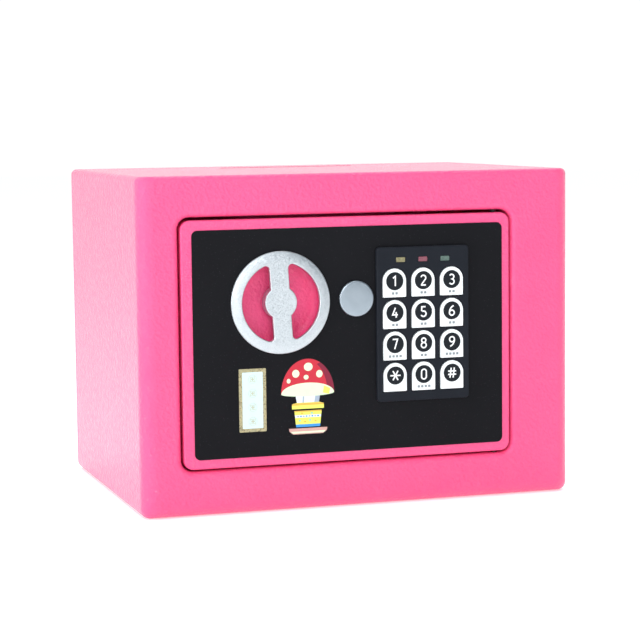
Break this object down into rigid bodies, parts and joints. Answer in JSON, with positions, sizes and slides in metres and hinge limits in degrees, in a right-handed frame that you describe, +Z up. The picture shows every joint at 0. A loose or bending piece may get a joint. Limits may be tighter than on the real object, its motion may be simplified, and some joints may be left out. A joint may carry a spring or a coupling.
{
  "type": "toy safe coin bank",
  "caption": "Small sheet-steel safe bank with a coin slot in the top and a keypad door with a round handwheel, sliding bolts and an override lock.",
  "frame": {"origin": "centre of the flat base the bank stands on", "axes": "+X to the right seen from the front, +Y from the door into the safe, +Z up"},
  "size_m": [0.23, 0.1729, 0.17],
  "materials": {
    "pink_powder_coat": "orange-peel powder coat, semi-gloss",
    "black_overlay": "fine-grained matt film",
    "name_sticker_print": "printed vinyl",
    "picture_sticker_print": "printed vinyl",
    "slate_plastic": "satin moulded plastic",
    "white_key": "satin moulded plastic with black print",
    "grey_rubber": "matt",
    "circuit_board": "solder resist",
    "yellow_lens": "clear tinted lens",
    "red_lens": "clear tinted lens",
    "green_lens": "clear tinted lens",
    "silver_paint": "silver flake paint",
    "zinc_steel": "zinc plated",
    "blackened_steel": "oil-blackened",
    "brass": "satin",
    "solenoid_wrap": "taped coil in a steel frame",
    "black_plastic": "fine moulded grain",
    "battery_wrap": "shrink wrap",
    "red_plastic": "moulded"
  },
  "bodies": {
    "cabinet": {"cabinet_body": "pink_powder_coat", "back_panel": "pink_powder_coat"},
    "door": {"door_plate": "pink_powder_coat", "hinge_pin_top": "blackened_steel", "hinge_pin_bottom": "blackened_steel", "front_overlay": "black_overlay", "name_sticker": "name_sticker_print", "picture_sticker": "picture_sticker_print", "keypad_housing": "slate_plastic", "led_yellow": "yellow_lens", "led_red": "red_lens", "led_green": "green_lens", "key_mat": "grey_rubber", "keypad_board": "circuit_board", "lock_barrel": "zinc_steel", "guide_post_upper": "zinc_steel", "guide_post_lower": "zinc_steel", "solenoid_body": "solenoid_wrap", "plunger_spring": "zinc_steel", "battery_holder": "black_plastic", "battery_1": "battery_wrap", "battery_2": "battery_wrap", "battery_3": "battery_wrap", "battery_4": "battery_wrap", "control_board": "circuit_board", "inner_cover": "black_plastic", "cover_screw_1": "zinc_steel", "cover_screw_2": "zinc_steel", "cover_screw_3": "zinc_steel", "cover_screw_4": "zinc_steel"},
    "handwheel": {"handwheel": "silver_paint", "knob_spindle": "zinc_steel", "cam_lever": "zinc_steel"},
    "bolt_work": {"bolt_carriage": "zinc_steel", "bolt_upper": "zinc_steel", "bolt_lower": "zinc_steel"},
    "plunger": {"solenoid_plunger": "zinc_steel"},
    "override_cap": {"override_cap": "silver_paint"},
    "lock_plug": {"lock_plug": "brass", "lock_cam": "zinc_steel"},
    "battery_cover": {"battery_cover": "black_plastic"},
    "reset_button": {"reset_button": "red_plastic"},
    "key_1": {"key_1": "white_key"},
    "key_2": {"key_2": "white_key"},
    "key_3": {"key_3": "white_key"},
    "key_4": {"key_4": "white_key"},
    "key_5": {"key_5": "white_key"},
    "key_6": {"key_6": "white_key"},
    "key_7": {"key_7": "white_key"},
    "key_8": {"key_8": "white_key"},
    "key_9": {"key_9": "white_key"},
    "key_star": {"key_star": "white_key"},
    "key_0": {"key_0": "white_key"},
    "key_hash": {"key_hash": "white_key"}
  },
  "joints": [
    {"name": "door_swing", "type": "hinge", "parent": "cabinet", "child": "door", "pos_m": [0.073, -0.081, 0.086], "axis": [0, 0, 1], "range_deg": [0, 110]},
    {"name": "handwheel_turn", "type": "hinge", "parent": "door", "child": "handwheel", "pos_m": [-0.0434, -0.0876, 0.106], "axis": [0, 1, 0], "range_deg": [-90, 0]},
    {"name": "bolt_slide", "type": "slide", "parent": "door", "child": "bolt_work", "axis": [1, 0, 0], "range_m": [-0.0121, 0]},
    {"name": "plunger_slide", "type": "slide", "parent": "door", "child": "plunger", "axis": [0, 0, 1], "range_m": [0, 0.003], "deforming": ["plunger_spring"]},
    {"name": "override_cap_pull", "type": "slide", "parent": "door", "child": "override_cap", "axis": [0, -1, 0], "range_m": [0, 0.012]},
    {"name": "lock_plug_turn", "type": "hinge", "parent": "door", "child": "lock_plug", "pos_m": [-0.0036, -0.06, 0.1065], "axis": [0, 1, 0], "range_deg": [0, 90]},
    {"name": "battery_cover_pull", "type": "slide", "parent": "door", "child": "battery_cover", "axis": [0, 1, 0], "range_m": [0, 0.02]},
    {"name": "reset_button_press", "type": "slide", "parent": "door", "child": "reset_button", "axis": [0, -1, 0], "range_m": [0, 0.0015], "stiffness_N_per_m": 300},
    {"name": "key_1_press", "type": "slide", "parent": "door", "child": "key_1", "axis": [0, 1, 0], "range_m": [0, 0.0005], "stiffness_N_per_m": 800},
    {"name": "key_2_press", "type": "slide", "parent": "door", "child": "key_2", "axis": [0, 1, 0], "range_m": [0, 0.0005], "stiffness_N_per_m": 800},
    {"name": "key_3_press", "type": "slide", "parent": "door", "child": "key_3", "axis": [0, 1, 0], "range_m": [0, 0.0005], "stiffness_N_per_m": 800},
    {"name": "key_4_press", "type": "slide", "parent": "door", "child": "key_4", "axis": [0, 1, 0], "range_m": [0, 0.0005], "stiffness_N_per_m": 800},
    {"name": "key_5_press", "type": "slide", "parent": "door", "child": "key_5", "axis": [0, 1, 0], "range_m": [0, 0.0005], "stiffness_N_per_m": 800},
    {"name": "key_6_press", "type": "slide", "parent": "door", "child": "key_6", "axis": [0, 1, 0], "range_m": [0, 0.0005], "stiffness_N_per_m": 800},
    {"name": "key_7_press", "type": "slide", "parent": "door", "child": "key_7", "axis": [0, 1, 0], "range_m": [0, 0.0005], "stiffness_N_per_m": 800},
    {"name": "key_8_press", "type": "slide", "parent": "door", "child": "key_8", "axis": [0, 1, 0], "range_m": [0, 0.0005], "stiffness_N_per_m": 800},
    {"name": "key_9_press", "type": "slide", "parent": "door", "child": "key_9", "axis": [0, 1, 0], "range_m": [0, 0.0005], "stiffness_N_per_m": 800},
    {"name": "key_star_press", "type": "slide", "parent": "door", "child": "key_star", "axis": [0, 1, 0], "range_m": [0, 0.0005], "stiffness_N_per_m": 800},
    {"name": "key_0_press", "type": "slide", "parent": "door", "child": "key_0", "axis": [0, 1, 0], "range_m": [0, 0.0005], "stiffness_N_per_m": 800},
    {"name": "key_hash_press", "type": "slide", "parent": "door", "child": "key_hash", "axis": [0, 1, 0], "range_m": [0, 0.0005], "stiffness_N_per_m": 800}
  ],
  "couplings": [
    {"joint": "bolt_slide", "follows": "handwheel_turn", "m_per_rad": 0.0076527}
  ]
}
